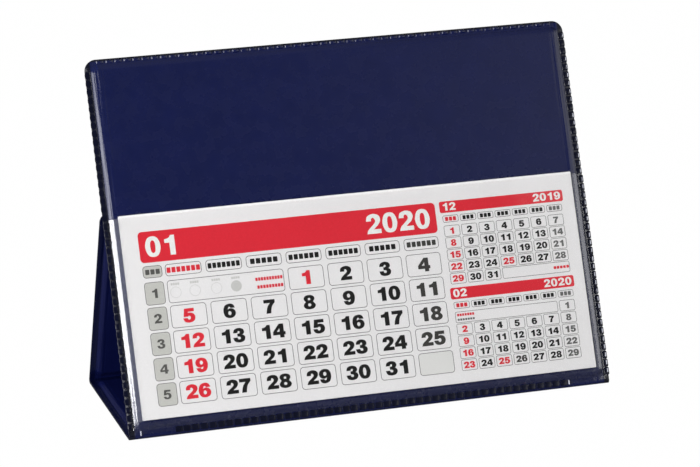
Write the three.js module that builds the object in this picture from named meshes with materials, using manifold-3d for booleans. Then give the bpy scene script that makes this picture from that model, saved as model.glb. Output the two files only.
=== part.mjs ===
// A tent-shaped desk calendar: a navy vinyl cover folded into a triangle, with a board sealed in each
// panel, a clear pocket on the front and a pad of month sheets in the pocket.
// Millimetres, +Z up, +X to the reader's right, the front panel faces -Y.
// The origin is on the table, under the middle of the object.
import * as THREE from 'three';
import * as BufferGeometryUtils from 'three/addons/utils/BufferGeometryUtils.js';
import Module from 'manifold-3d';

// The three panels of the cover. The front's lean follows from where the flap meets it.
const coverWidth = 200;
const frontHeight = 149;
const baseDepth = 66;
const flapHeight = 85;
const tuckHeight = 89.5;

// Sheet goods.
const vinylThickness = 0.4;
const boardThickness = 2;
const filmThickness = 0.3;
const stripThickness = 0.4;
const fitGap = 0.3;

// The heat weld: a flat rim at each free edge, a flat band beside each fold, and the rounded
// shoulder over which the skin climbs onto its board.
const rimWidth = 2.2;
const hingeWidth = 3.2;
const shoulderWidth = 2.5;
const panCornerRadius = 3.2;
const coverCornerRadius = 4.5;
const foldRadius = 0.8;

// The tongue at the flap's end, and the strip that holds it.
const tongueLength = 9;
const tongueInset = 10;
const tongueBendRadius = 1.2;
const flapEndSetback = 0.6;
const stripLift = 1.5;
const stripWeld = 3;
const stripShoulder = 1;
const tuckClearance = 1;

// The pad of month sheets and the pocket over it.
const padLeftMargin = 5.6;
const padRightMargin = 5.8;
const padHeight = 80;
const padThickness = 1.2;
const padBottom = 6.6;
const padCornerRadius = 0.4;
const pocketHeight = 85.6;
const pocketSideInset = 0.5;
const pocketFoldInset = 0.2;
const pocketSideRim = 0.9;
const pocketFootRim = 2.8;
const pocketShoulder = 3.8;
const pocketCornerRadius = 4;

// How finely the rounded forms are divided.
const shoulderSteps = 4;
const foldSteps = 5;
const cornerSteps = 6;

// Distances from a panel's weld plane to the surfaces of its skins.
const rimInside = fitGap / 2;
const panInside = boardThickness / 2 + fitGap;
const rimOutside = rimInside + vinylThickness;
const panOutside = panInside + vinylThickness;
const tongueOffset = panOutside + fitGap + rimOutside;

// Side view of the tent, in the plane of Y and Z, with the front fold at (0, 0). The base, the flap
// and the stretch of the front below the tuck close a triangle, which gives the front's slope.
const tuckReach = Math.hypot(tuckHeight, tongueOffset);
const tuckAngle = Math.atan2(tongueOffset, tuckHeight);
const foldCosine = (baseDepth ** 2 + tuckReach ** 2 - flapHeight ** 2) / (2 * baseDepth * tuckReach);
const frontSlope = Math.acos(foldCosine) + tuckAngle;
const upFront = new THREE.Vector2(Math.cos(frontSlope), Math.sin(frontSlope));
const behindFront = new THREE.Vector2(Math.sin(frontSlope), -Math.cos(frontSlope));
const frontFold = new THREE.Vector2(0, 0);
const rearFold = new THREE.Vector2(baseDepth, 0);
const frontTop = upFront.clone().multiplyScalar(frontHeight);
const flapEnd = upFront.clone().multiplyScalar(tuckHeight).addScaledVector(behindFront, tongueOffset);
const tongueEnd = flapEnd.clone().addScaledVector(upFront, tongueLength);
const flapRun = flapEnd.clone().sub(rearFold);

// The weld plane seen from the side: straight runs joined by round bends. It gives the point and the
// outward normal at any length s along the sheet, counted from the top of the front panel.
function bentLine(points, radii) {
  const pieces = [];
  let length = 0;
  let start = points[0];
  const add = (pieceLength, at) => {
    pieces.push({ from: length, to: length + pieceLength, at });
    length += pieceLength;
  };
  const addStraight = (from, to) => {
    const along = to.clone().sub(from);
    const runLength = along.length();
    along.normalize();
    const normal = new THREE.Vector2(along.y, -along.x);
    add(runLength, (t) => ({ point: from.clone().addScaledVector(along, t), normal }));
  };
  const addBend = (corner, radius, before, after) => {
    const turn = Math.atan2(before.cross(after), before.dot(after));
    const side = Math.sign(turn);
    const leg = radius * Math.tan(Math.abs(turn) / 2);
    const entry = corner.clone().addScaledVector(before, -leg);
    addStraight(start, entry);
    const centre = entry.clone().add(new THREE.Vector2(-before.y, before.x).multiplyScalar(side * radius));
    const spoke = entry.clone().sub(centre);
    add(radius * Math.abs(turn), (t) => {
      const arm = spoke.clone().rotateAround(new THREE.Vector2(0, 0), (side * t) / radius);
      return { point: centre.clone().add(arm), normal: arm.clone().multiplyScalar(side / radius) };
    });
    start = corner.clone().addScaledVector(after, leg);
  };
  for (let i = 1; i < points.length - 1; i += 1) {
    const before = points[i].clone().sub(points[i - 1]).normalize();
    const after = points[i + 1].clone().sub(points[i]).normalize();
    addBend(points[i], radii[i - 1], before, after);
  }
  addStraight(start, points[points.length - 1]);
  const at = (s) => {
    const piece = pieces.find((candidate) => s <= candidate.to) ?? pieces[pieces.length - 1];
    return piece.at(s - piece.from);
  };
  return { pieces, length, at };
}

const weldLine = bentLine(
  [frontTop, frontFold, rearFold, flapEnd, tongueEnd],
  [foldRadius, foldRadius, tongueBendRadius],
);
const [frontRun, frontBend, baseRun, rearBend, flapStraight, tongueBend] = weldLine.pieces;
const frontBendLeg = frontHeight - frontRun.to;
const rearBendLeg = foldRadius * Math.tan((rearBend.to - rearBend.from) / foldRadius / 2);

// A rounded shoulder: a circular arc that starts at the weld and ends level with the top.
function shoulderArc(distance, width, rise) {
  const inward = Math.min(Math.max(distance, 0), width);
  const radius = (width ** 2 + rise ** 2) / (2 * rise);
  return Math.sqrt(radius ** 2 - (width - inward) ** 2) - (radius - rise);
}

// How far a point lies inside a rectangle with round corners; negative when it is outside.
function insideDistance(x, y, area) {
  const halfWidth = (area.right - area.left) / 2 - area.radius;
  const halfHeight = (area.top - area.bottom) / 2 - area.radius;
  const overX = Math.abs(x - (area.left + area.right) / 2) - halfWidth;
  const overY = Math.abs(y - (area.bottom + area.top) / 2) - halfHeight;
  const outside = Math.hypot(Math.max(overX, 0), Math.max(overY, 0));
  return area.radius - outside - Math.min(Math.max(overX, overY), 0);
}

// The lines that a raised area needs beside one of its edges: the steps of its shoulder, then the
// end of its round corner.
function edgeLines(edge, inward, width, radius) {
  const lines = [];
  for (let i = 0; i <= shoulderSteps; i += 1) {
    lines.push(edge + (inward * width * i) / shoulderSteps);
  }
  if (radius > width) {
    lines.push(edge + inward * radius);
  }
  return lines;
}

function ascending(values) {
  return [...new Set(values.map((value) => Number(value.toFixed(5))))].sort((a, b) => a - b);
}

// A closed solid between two surfaces over a grid: lower and upper give the heights above the grid,
// and place turns (across, along, height) into a point.
function sheetSolid(columns, rows, lower, upper, place) {
  const positions = [];
  const indices = [];
  const layerSize = columns.length * rows.length;
  for (const height of [lower, upper]) {
    for (const along of rows) {
      for (const across of columns) {
        positions.push(...place(across, along, height(across, along)).toArray());
      }
    }
  }
  const vertex = (layer, row, column) => layer * layerSize + row * columns.length + column;
  const quad = (a, b, c, d) => indices.push(a, b, c, a, c, d);
  const lastRow = rows.length - 1;
  const lastColumn = columns.length - 1;
  for (let row = 0; row < lastRow; row += 1) {
    for (let column = 0; column < lastColumn; column += 1) {
      quad(vertex(0, row, column), vertex(0, row + 1, column),
        vertex(0, row + 1, column + 1), vertex(0, row, column + 1));
      quad(vertex(1, row, column), vertex(1, row, column + 1),
        vertex(1, row + 1, column + 1), vertex(1, row + 1, column));
    }
  }
  for (let row = 0; row < lastRow; row += 1) {
    quad(vertex(0, row, 0), vertex(1, row, 0), vertex(1, row + 1, 0), vertex(0, row + 1, 0));
    quad(vertex(0, row, lastColumn), vertex(0, row + 1, lastColumn),
      vertex(1, row + 1, lastColumn), vertex(1, row, lastColumn));
  }
  for (let column = 0; column < lastColumn; column += 1) {
    quad(vertex(0, 0, column), vertex(0, 0, column + 1), vertex(1, 0, column + 1), vertex(1, 0, column));
    quad(vertex(0, lastRow, column), vertex(1, lastRow, column),
      vertex(1, lastRow, column + 1), vertex(0, lastRow, column + 1));
  }
  const geometry = new THREE.BufferGeometry();
  geometry.setAttribute('position', new THREE.Float32BufferAttribute(positions, 3));
  geometry.setIndex(indices);
  return facingOut(geometry);
}

function signedVolume(geometry) {
  const corners = geometry.attributes.position;
  const a = new THREE.Vector3();
  const b = new THREE.Vector3();
  const c = new THREE.Vector3();
  let volume = 0;
  for (let i = 0; i < geometry.index.count; i += 3) {
    a.fromBufferAttribute(corners, geometry.index.getX(i));
    b.fromBufferAttribute(corners, geometry.index.getX(i + 1));
    c.fromBufferAttribute(corners, geometry.index.getX(i + 2));
    volume += a.dot(b.cross(c)) / 6;
  }
  return volume;
}

function facingOut(geometry) {
  if (signedVolume(geometry) < 0) {
    geometry.index.array.reverse();
  }
  return geometry;
}

// Boolean cuts.
const wasm = await Module();
wasm.setup();

function solidOf(geometry) {
  const bare = geometry.clone();
  bare.deleteAttribute('normal');
  bare.deleteAttribute('uv');
  const merged = BufferGeometryUtils.mergeVertices(bare);
  return new wasm.Manifold(new wasm.Mesh({
    numProp: 3,
    vertProperties: new Float32Array(merged.attributes.position.array),
    triVerts: new Uint32Array(merged.index.array),
  }));
}

function geometryOf(solid) {
  const mesh = solid.getMesh();
  const geometry = new THREE.BufferGeometry();
  geometry.setAttribute('position', new THREE.Float32BufferAttribute(mesh.vertProperties, 3));
  geometry.setIndex(Array.from(mesh.triVerts));
  return geometry;
}

// A plate with round corners, from a drawn outline.
function roundedPlate(area, thickness) {
  const { left, right, bottom, top, radius } = area;
  const outline = new THREE.Shape();
  outline.moveTo(left + radius, bottom);
  outline.lineTo(right - radius, bottom);
  outline.absarc(right - radius, bottom + radius, radius, -Math.PI / 2, 0);
  outline.lineTo(right, top - radius);
  outline.absarc(right - radius, top - radius, radius, 0, Math.PI / 2);
  outline.lineTo(left + radius, top);
  outline.absarc(left + radius, top - radius, radius, Math.PI / 2, Math.PI);
  outline.lineTo(left, bottom + radius);
  outline.absarc(left + radius, bottom + radius, radius, Math.PI, 1.5 * Math.PI);
  const plate = new THREE.ExtrudeGeometry(outline, {
    depth: thickness,
    bevelEnabled: false,
    curveSegments: cornerSteps,
  });
  return plate.translate(0, 0, -thickness / 2);
}

// The panels as frames of their own: x across, y along the panel from its fold, z along its normal.
function panelGroup(origin, slope) {
  const group = new THREE.Group();
  group.position.set(0, origin.x, origin.y);
  group.rotation.x = slope;
  group.updateMatrixWorld(true);
  return group;
}
const frontPanel = panelGroup(frontFold, frontSlope);
const basePanel = panelGroup(frontFold, 0);
const flapPanel = panelGroup(rearFold, flapRun.angle());

// The raised areas of the cover, in lengths along the sheet. Each holds one board.
const halfWidth = coverWidth / 2;
const flapRimEnd = flapHeight - flapEndSetback - rimWidth;
function raisedArea(along, from, to) {
  return {
    left: rimWidth - halfWidth,
    right: halfWidth - rimWidth,
    bottom: along + from,
    top: along + to,
    radius: panCornerRadius,
  };
}
const frontArea = raisedArea(0, rimWidth, frontHeight - hingeWidth);
const baseArea = raisedArea(baseRun.from - frontBendLeg, hingeWidth, baseDepth - hingeWidth);
const flapArea = raisedArea(flapStraight.from - rearBendLeg, hingeWidth, flapRimEnd);
const raisedAreas = [frontArea, baseArea, flapArea];

function skinRise(across, along) {
  const deepest = Math.max(...raisedAreas.map((area) => insideDistance(across, along, area)));
  return shoulderArc(deepest, shoulderWidth, panInside - rimInside);
}

// Grid of the folded sheet: lines at the rims and shoulders, and steps round each bend.
function bendSteps(bend, steps) {
  const lines = [];
  for (let i = 0; i <= steps; i += 1) {
    lines.push(bend.from + ((bend.to - bend.from) * i) / steps);
  }
  return lines;
}
const coverColumns = ascending([
  -halfWidth,
  halfWidth,
  ...edgeLines(frontArea.left, 1, shoulderWidth, panCornerRadius),
  ...edgeLines(frontArea.right, -1, shoulderWidth, panCornerRadius),
]);
const flapEndLine = flapArea.top + rimWidth;
const coverRows = ascending([
  0,
  flapEndLine,
  ...raisedAreas.flatMap((area) => [
    ...edgeLines(area.bottom, 1, shoulderWidth, panCornerRadius),
    ...edgeLines(area.top, -1, shoulderWidth, panCornerRadius),
  ]),
  ...bendSteps(frontBend, foldSteps),
  ...bendSteps(rearBend, foldSteps),
]);

// The tongue is narrower than the cover. It starts within the rim at the flap's end.
const tongueHalfWidth = halfWidth - tongueInset;
const tongueColumns = [-tongueHalfWidth, tongueHalfWidth];
const tongueRows = ascending([
  flapArea.top,
  flapEndLine,
  ...bendSteps(tongueBend, foldSteps),
  weldLine.length,
]);

function onFoldedSheet(across, along, height) {
  const { point, normal } = weldLine.at(along);
  return new THREE.Vector3(across, point.x + height * normal.x, point.y + height * normal.y);
}

// One outer corner of a sheet is trimmed round: what lies outside the arc is drawn on the panel and
// cut through the sheet, and its mirror image is cut at the other side.
function roundedCorners(solid, { panel, side, top, height }) {
  const reach = rimOutside + fitGap;
  const centre = new THREE.Vector2(side - coverCornerRadius, top - coverCornerRadius);
  const waste = new THREE.Shape();
  waste.moveTo(centre.x, top);
  waste.absarc(centre.x, centre.y, coverCornerRadius, Math.PI / 2, 0, true);
  waste.lineTo(side + reach, centre.y);
  waste.lineTo(side + reach, top + fitGap);
  waste.lineTo(centre.x, top + fitGap);
  const block = new THREE.ExtrudeGeometry(waste, {
    depth: 2 * reach,
    bevelEnabled: false,
    curveSegments: cornerSteps,
  });
  block.translate(0, 0, height - reach);
  block.applyMatrix4(panel.matrixWorld);
  const cut = solidOf(block);
  return solid.subtract(cut).subtract(cut.mirror([1, 0, 0]));
}

// A skin is the wide sheet with the tongue joined to its end.
function foldedSkin(lower, upper) {
  const frontCorners = { panel: frontPanel, side: halfWidth, top: frontHeight, height: 0 };
  const flapCorners = { panel: flapPanel, side: halfWidth, top: flapHeight - flapEndSetback, height: 0 };
  const tongueCorners = {
    panel: frontPanel,
    side: tongueHalfWidth,
    top: tuckHeight + tongueLength,
    height: -tongueOffset,
  };
  let sheet = solidOf(sheetSolid(coverColumns, coverRows, lower, upper, onFoldedSheet));
  sheet = roundedCorners(sheet, frontCorners);
  sheet = roundedCorners(sheet, flapCorners);
  const tongue = solidOf(sheetSolid(tongueColumns, tongueRows, lower, upper, onFoldedSheet));
  return geometryOf(sheet.add(roundedCorners(tongue, tongueCorners)));
}

const outerSkin = foldedSkin(
  (across, along) => rimInside + skinRise(across, along),
  (across, along) => rimOutside + skinRise(across, along),
);
const innerSkin = foldedSkin(
  (across, along) => -rimOutside - skinRise(across, along),
  (across, along) => -rimInside - skinRise(across, along),
);

// A board fills the flat part of its raised area.
function boardPlate(from, to) {
  const halfBoard = halfWidth - rimWidth - shoulderWidth;
  const area = {
    left: -halfBoard,
    right: halfBoard,
    bottom: from + shoulderWidth,
    top: to - shoulderWidth,
    radius: panCornerRadius - shoulderWidth,
  };
  return roundedPlate(area, boardThickness);
}

// The pad stands on the front's raised face, and the pocket's film lies over the pad.
const padBack = panOutside + fitGap;
const padArea = {
  left: padLeftMargin - halfWidth,
  right: halfWidth - padRightMargin,
  bottom: padBottom,
  top: padBottom + padHeight,
  radius: padCornerRadius,
};
const filmOnRim = rimOutside + fitGap;
const filmOnPad = padBack + padThickness + fitGap;

// The pocket's raised area runs out past its mouth, so only its sides and foot have shoulders.
const pocketHalfWidth = halfWidth - pocketSideInset;
const pocketArea = {
  left: pocketSideRim - pocketHalfWidth,
  right: pocketHalfWidth - pocketSideRim,
  bottom: pocketFootRim,
  top: pocketHeight + pocketShoulder + pocketCornerRadius,
  radius: pocketCornerRadius,
};
const pocketFoot = frontBendLeg + pocketFoldInset;
const pocketColumns = ascending([
  -pocketHalfWidth,
  pocketHalfWidth,
  ...edgeLines(pocketArea.left, 1, pocketShoulder, pocketCornerRadius),
  ...edgeLines(pocketArea.right, -1, pocketShoulder, pocketCornerRadius),
]);
const pocketRows = ascending([
  pocketFoot,
  pocketHeight,
  ...edgeLines(pocketArea.bottom, 1, pocketShoulder, pocketCornerRadius),
]);
function pocketRise(across, along) {
  const distance = insideDistance(across, along, pocketArea);
  return shoulderArc(distance, pocketShoulder, filmOnPad - filmOnRim);
}
const onFlatPanel = (across, along, height) => new THREE.Vector3(across, along, height);
const pocketFilm = sheetSolid(
  pocketColumns,
  pocketRows,
  (across, along) => filmOnRim + pocketRise(across, along),
  (across, along) => filmOnRim + filmThickness + pocketRise(across, along),
  onFlatPanel,
);

// The tuck strip is open below, where the tongue goes in, and welded at its ends and along its top.
const stripOnPanel = panOutside + fitGap;
const stripOnTongue = tongueOffset + rimOutside + fitGap;
const stripHalfWidth = tongueHalfWidth + tuckClearance + stripShoulder + stripWeld;
const stripFoot = tuckHeight + stripLift;
const stripTop = tuckHeight + tongueLength + tuckClearance + stripShoulder + stripWeld;
const stripArea = {
  left: stripWeld - stripHalfWidth,
  right: stripHalfWidth - stripWeld,
  bottom: stripFoot - stripShoulder,
  top: stripTop - stripWeld,
  radius: 0,
};
const stripColumns = ascending([
  -stripHalfWidth,
  stripHalfWidth,
  ...edgeLines(stripArea.left, 1, stripShoulder, 0),
  ...edgeLines(stripArea.right, -1, stripShoulder, 0),
]);
const stripRows = ascending([
  stripFoot,
  stripTop,
  ...edgeLines(stripArea.top, -1, stripShoulder, 0),
]);
function stripRise(across, along) {
  const distance = insideDistance(across, along, stripArea);
  return shoulderArc(distance, stripShoulder, stripOnTongue - stripOnPanel);
}
const tuckBand = sheetSolid(
  stripColumns,
  stripRows,
  (across, along) => -stripOnPanel - stripThickness - stripRise(across, along),
  (across, along) => -stripOnPanel - stripRise(across, along),
  onFlatPanel,
);

// Materials.
const navyVinyl = { color: 0x1d2247, roughness: 0.35, metalness: 0 };
const liningVinyl = { color: 0x181c40, roughness: 0.45, metalness: 0 };
const greyBoard = { color: 0x8f8a80, roughness: 0.95, metalness: 0 };
const clearFilm = { color: 0xeef1f5, roughness: 0.12, metalness: 0, transparent: true, opacity: 0.25 };
const paper = { color: 0xeceaec, roughness: 0.85, metalness: 0 };

function piece(name, geometry, look) {
  const mesh = new THREE.Mesh(geometry, new THREE.MeshStandardMaterial(look));
  mesh.name = name;
  return mesh;
}

// Assembly.
const calendarPad = piece('calendar_pad', roundedPlate(padArea, padThickness), paper);
calendarPad.position.z = padBack + padThickness / 2;
frontPanel.add(
  piece('front_board', boardPlate(hingeWidth, frontHeight - rimWidth), greyBoard),
  calendarPad,
  piece('clear_pocket', pocketFilm, clearFilm),
  piece('tuck_strip', tuckBand, navyVinyl),
);
basePanel.add(piece('base_board', boardPlate(hingeWidth, baseDepth - hingeWidth), greyBoard));
flapPanel.add(piece('flap_board', boardPlate(hingeWidth, flapRimEnd), greyBoard));

const tent = new THREE.Group();
tent.add(
  piece('outer_cover', outerSkin, navyVinyl),
  piece('inner_lining', innerSkin, liningVinyl),
  frontPanel,
  basePanel,
  flapPanel,
);

// The object stands on the table with the origin under its middle.
const extent = new THREE.Box3().setFromObject(tent, true);
tent.position.set(0, -(extent.min.y + extent.max.y) / 2, -extent.min.z);

const deskCalendar = new THREE.Group();
deskCalendar.add(tent);
export default deskCalendar;
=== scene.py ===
"""Looks for a tent-shaped desk calendar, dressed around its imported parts. Metres, +Z up."""
import math
import random
from collections import namedtuple

import bmesh
import bpy
from mathutils import Matrix, Vector
from mathutils.geometry import tessellate_polygon


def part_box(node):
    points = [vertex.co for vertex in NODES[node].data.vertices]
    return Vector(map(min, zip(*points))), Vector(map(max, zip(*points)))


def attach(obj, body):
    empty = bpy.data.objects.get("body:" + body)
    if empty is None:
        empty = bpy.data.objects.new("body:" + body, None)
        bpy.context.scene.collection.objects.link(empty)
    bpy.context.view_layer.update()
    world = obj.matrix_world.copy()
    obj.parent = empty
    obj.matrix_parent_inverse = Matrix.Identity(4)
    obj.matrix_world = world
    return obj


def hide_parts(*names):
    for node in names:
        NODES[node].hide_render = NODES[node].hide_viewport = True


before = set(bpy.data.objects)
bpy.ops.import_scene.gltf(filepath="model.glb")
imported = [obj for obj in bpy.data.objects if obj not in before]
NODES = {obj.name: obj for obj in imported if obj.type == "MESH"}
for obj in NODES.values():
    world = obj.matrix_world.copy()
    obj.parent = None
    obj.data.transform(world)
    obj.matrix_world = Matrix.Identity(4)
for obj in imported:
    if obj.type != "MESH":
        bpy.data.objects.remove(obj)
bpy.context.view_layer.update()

MM = 0.001
ACROSS = Vector((1, 0, 0))
# A point inside the tent, from which every panel faces outward.
TENT_MIDDLE = Vector((0, 0.010, 0.030))

# Camera, fitted to the corners of the front panel, the month sheet and the flap: degrees around and
# above the origin, its distance, how far it is moved sideways and up, and its lens.
CAMERA_AZIMUTH = -18.0
CAMERA_ELEVATION = 18.55
CAMERA_DISTANCE = 1310.82 * MM
CAMERA_SIDE = 0.24 * MM
CAMERA_RISE = 61.83 * MM
SENSOR_WIDTH = 36.0
LENS = 166.345
CLIP_START = 0.05
CLIP_END = 20

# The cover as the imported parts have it: its rims and folds, and how far a rim's face stands out of
# the panel's middle, bare and with the film on it.
RIM_WIDTH = 2.2 * MM
HINGE_WIDTH = 3.2 * MM
SHOULDER_WIDTH = 2.5 * MM
COVER_CORNER = 4.5 * MM
RIM_FACE = 0.55 * MM
FILM_RIM_FACE = 1.15 * MM


def screen(red, green, blue):
    """A linear colour from the 0 to 255 values of a screen colour, by the sRGB curve."""
    def linear(value):
        value /= 255
        return value / 12.92 if value <= 0.04045 else ((value + 0.055) / 1.055) ** 2.4

    return (linear(red), linear(green), linear(blue), 1.0)


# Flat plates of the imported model: boards and the pad.
class Plate:
    """A flat plate's own directions, and how far it reaches along them from the origin."""

    def __init__(self, node):
        mesh = NODES[node].data
        face = max(mesh.polygons, key=lambda polygon: polygon.area)
        self.out = face.normal.copy()
        if self.out.dot(face.center - TENT_MIDDLE) < 0:
            self.out.negate()
        self.along = self.out.cross(ACROSS)
        if self.along.z < 0:
            self.along.negate()
        reach = [
            (v.co.dot(ACROSS), v.co.dot(self.along), v.co.dot(self.out)) for v in mesh.vertices
        ]
        self.low = [min(values) for values in zip(*reach)]
        self.high = [max(values) for values in zip(*reach)]

    def at(self, across, along, out):
        return ACROSS * across + self.along * along + self.out * out


class Panel:
    """A panel of the cover: places by across, height from its fold, and distance out of its middle."""

    def __init__(self, board):
        self.plate = Plate(board)
        self.fold = self.plate.low[1] - HINGE_WIDTH - SHOULDER_WIDTH
        self.middle = (self.plate.low[2] + self.plate.high[2]) / 2

    def at(self, across, height, out):
        return self.plate.at(across, self.fold + height, self.middle + out)


FRONT = Panel("front_board")
FLAP = Panel("flap_board")
PAD = Plate("calendar_pad")
HALF_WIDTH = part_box("outer_cover")[1].x
FRONT_HEIGHT = FRONT.plate.high[1] - FRONT.fold + SHOULDER_WIDTH + RIM_WIDTH

# Noise lies mostly between these two values, and about its mean.
NOISE_SPAN = (0.3, 0.7)
NOISE_MEAN = 0.5
# The width over which one area of a material gives way to another.
SOFT_EDGE = 0.5 * MM
# The Mix node's sockets for colours, which share their names with its other sockets.
FIRST_COLOUR = 6
SECOND_COLOUR = 7
MIXED_COLOUR = 2


# Node trees. A value that is given to a node is either a socket or a plain value.
def new_material(name):
    material = bpy.data.materials.new(name)
    material.use_nodes = True
    return material


def add_node(material, kind, **values):
    node = material.node_tree.nodes.new(kind)
    for name, value in values.items():
        setattr(node, name, value)
    return node


def join(material, source, target):
    material.node_tree.links.new(source, target)


def give(material, value, target):
    """Feeds an input from a socket, or sets it to a plain value."""
    if isinstance(value, bpy.types.NodeSocket):
        join(material, value, target)
    else:
        target.default_value = value


def principled(material, roughness=0.5, metallic=0.0, colour=(0.8, 0.8, 0.8, 1)):
    shader = material.node_tree.nodes["Principled BSDF"]
    shader.inputs["Roughness"].default_value = roughness
    shader.inputs["Metallic"].default_value = metallic
    shader.inputs["Base Color"].default_value = colour
    return shader


def show(material, shader):
    """Makes the shader what the material shows."""
    join(material, shader, material.node_tree.nodes["Material Output"].inputs["Surface"])


def place(material):
    """The object's own coordinates, which are metres in the row frame."""
    return add_node(material, "ShaderNodeTexCoord").outputs["Object"]


def noise_of(material, spacing, detail=2.0, where=None):
    """Noise from 0 to 1 whose features are about the given spacing in metres."""
    texture = add_node(material, "ShaderNodeTexNoise")
    texture.inputs["Scale"].default_value = 1 / spacing
    texture.inputs["Detail"].default_value = detail
    join(material, place(material) if where is None else where, texture.inputs["Vector"])
    return texture.outputs["Fac"]


def remapped(material, value, start, end, low=0.0, high=1.0):
    """The value from start to end stretched over low to high, and held at them outside."""
    remap = add_node(material, "ShaderNodeMapRange")
    remap.inputs["From Min"].default_value = start
    remap.inputs["From Max"].default_value = end
    remap.inputs["To Min"].default_value = low
    remap.inputs["To Max"].default_value = high
    join(material, value, remap.inputs["Value"])
    return remap.outputs["Result"]


def spread(material, noise, low=0.0, high=1.0):
    """Noise stretched over low to high."""
    return remapped(material, noise, *NOISE_SPAN, low, high)


def calculate(material, operation, first, second):
    """One step of arithmetic on two values."""
    step = add_node(material, "ShaderNodeMath", operation=operation)
    give(material, first, step.inputs[0])
    give(material, second, step.inputs[1])
    return step.outputs["Value"]


def reach_along(material, vector, direction):
    """How far a vector reaches along a direction."""
    product = add_node(material, "ShaderNodeVectorMath", operation="DOT_PRODUCT")
    product.inputs[1].default_value = direction
    join(material, vector, product.inputs[0])
    return product.outputs["Value"]


def blend_colours(material, factor, first, second):
    mix = add_node(material, "ShaderNodeMix", data_type="RGBA")
    give(material, factor, mix.inputs["Factor"])
    give(material, first, mix.inputs[FIRST_COLOUR])
    give(material, second, mix.inputs[SECOND_COLOUR])
    return mix.outputs[MIXED_COLOUR]


def blend_shaders(material, factor, first, second):
    mix = add_node(material, "ShaderNodeMixShader")
    join(material, factor, mix.inputs["Fac"])
    join(material, first, mix.inputs[1])
    join(material, second, mix.inputs[2])
    return mix.outputs["Shader"]


def bump(material, relief, height, under=None):
    """A relief from 0 to 1, raised to a height in metres and laid over another bump if that is given."""
    node = add_node(material, "ShaderNodeBump")
    node.inputs["Strength"].default_value = 1.0
    node.inputs["Distance"].default_value = height
    join(material, relief, node.inputs["Height"])
    if under is not None:
        join(material, under, node.inputs["Normal"])
    return node.outputs["Normal"]


def beyond(material, direction, start, soft=SOFT_EDGE):
    """1 where a point lies farther along a direction than a start, and 0 before it."""
    return remapped(material, reach_along(material, place(material), direction), start, start + soft)


def near_sides(material, reach, soft=SOFT_EDGE):
    """1 within a reach of the cover's left and right edges, and 0 between."""
    start = HALF_WIDTH - reach - soft / 2
    left = beyond(material, -ACROSS, start, soft)
    return calculate(material, "MAXIMUM", left, beyond(material, ACROSS, start, soft))


# Vinyl: patches of slightly different tone and gloss, slow waves and a fine grain.
TONE_SPACING = 9 * MM
TONE_DETAIL = 4
GLOSS_SPACING = 5 * MM
GLOSS_DETAIL = 3
WAVE_SPACING = 34 * MM
WAVE_DETAIL = 1
WAVE_HEIGHT = 0.10 * MM
GRAIN_SPACING = 0.35 * MM
GRAIN_HEIGHT = 0.006 * MM
PLASTIC_IOR = 1.5

# Folds beside the side rims, long for their width. They lie between two distances from the cover's
# edge, and each distance has the width over which they fade.
FOLD_SPACING = 1.6 * MM
FOLD_SQUEEZE = 0.03
FOLD_HEIGHT = 0.5 * MM
WELD_FOLD_HEIGHT = 0.12 * MM
FOLDS_INNER_EDGE = (6 * MM, 2 * MM)
FOLDS_OUTER_EDGE = (1.9 * MM, 1.0 * MM)

# Clear film: its gloss, waves and folds, and how much light comes through.
FILM_ROUGHNESS = 0.06
FILM_WAVE_SPACING = 16 * MM
FILM_WAVE_HEIGHT = 0.05 * MM
FILM_FOLD_HEIGHT = 0.12 * MM
FILM_CLEAR = (0.985, 0.985, 0.985, 1)
# Each pass through the film reflects at one face only, so this stands for both faces together.
FILM_IOR = 1.75
# A grey painted sheen stands for the film's reflection where it is stretched between the sheet and the
# weld:
# between two distances from the cover's edge, and higher than the sheet's foot.
SHEEN_PAINT_COLOUR = (0.52, 0.53, 0.60, 1)
SHEEN_PAINT_SHARE = 0.08
SHEEN_INNER_EDGE = (5.6 * MM, 0.2 * MM)
SHEEN_OUTER_EDGE = (2.3 * MM, SOFT_EDGE)
SHEEN_FOOT = 6 * MM

# Paper: its fibres, its two whites, and the shade between the leaves at the pad's edges.
PAPER_ROUGHNESS = 0.55
FIBRE_SPACING = 0.8 * MM
FIBRE_DETAIL = 3
FIBRE_HEIGHT = 0.004 * MM
PAPER_WHITES = ((0.81, 0.80, 0.805, 1), (0.84, 0.83, 0.835, 1))
LEAF_THICKNESS = 0.1 * MM
LEAF_GAP_COLOUR = (0.45, 0.44, 0.45, 1)
LEAF_GAP_WHITENESS = 0.25
# A point lies on the pad's face, and not on an edge, where its normal points outward by this much.
FACE_LIMIT = 0.5

MOTTLE_SPACING = 0.6 * MM
MOTTLE_DETAIL = 3
INK_ROUGHNESS = 0.5

BOARD_ROUGHNESS = 0.9
BOARD_FIBRE_SPACING = 1.5 * MM
BOARD_FIBRE_DETAIL = 5
BOARD_FIBRE_HEIGHT = 0.03 * MM
BOARD_GREYS = ((0.24, 0.22, 0.19, 1), (0.31, 0.29, 0.26, 1))


# Materials.
def pulled(material):
    """Long fine folds beside the side rims, where the sheet is drawn down to the weld."""
    longer = add_node(material, "ShaderNodeMapping")
    longer.inputs["Scale"].default_value = (1, FOLD_SQUEEZE, FOLD_SQUEEZE)
    join(material, place(material), longer.inputs["Vector"])
    noise = noise_of(material, FOLD_SPACING, where=longer.outputs["Vector"])
    folds = calculate(material, "SUBTRACT", noise, NOISE_MEAN)
    beside_rim = calculate(material, "SUBTRACT", near_sides(material, *FOLDS_INNER_EDGE),
                           near_sides(material, *FOLDS_OUTER_EDGE))
    return calculate(material, "MULTIPLY", folds, beside_rim)


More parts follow.
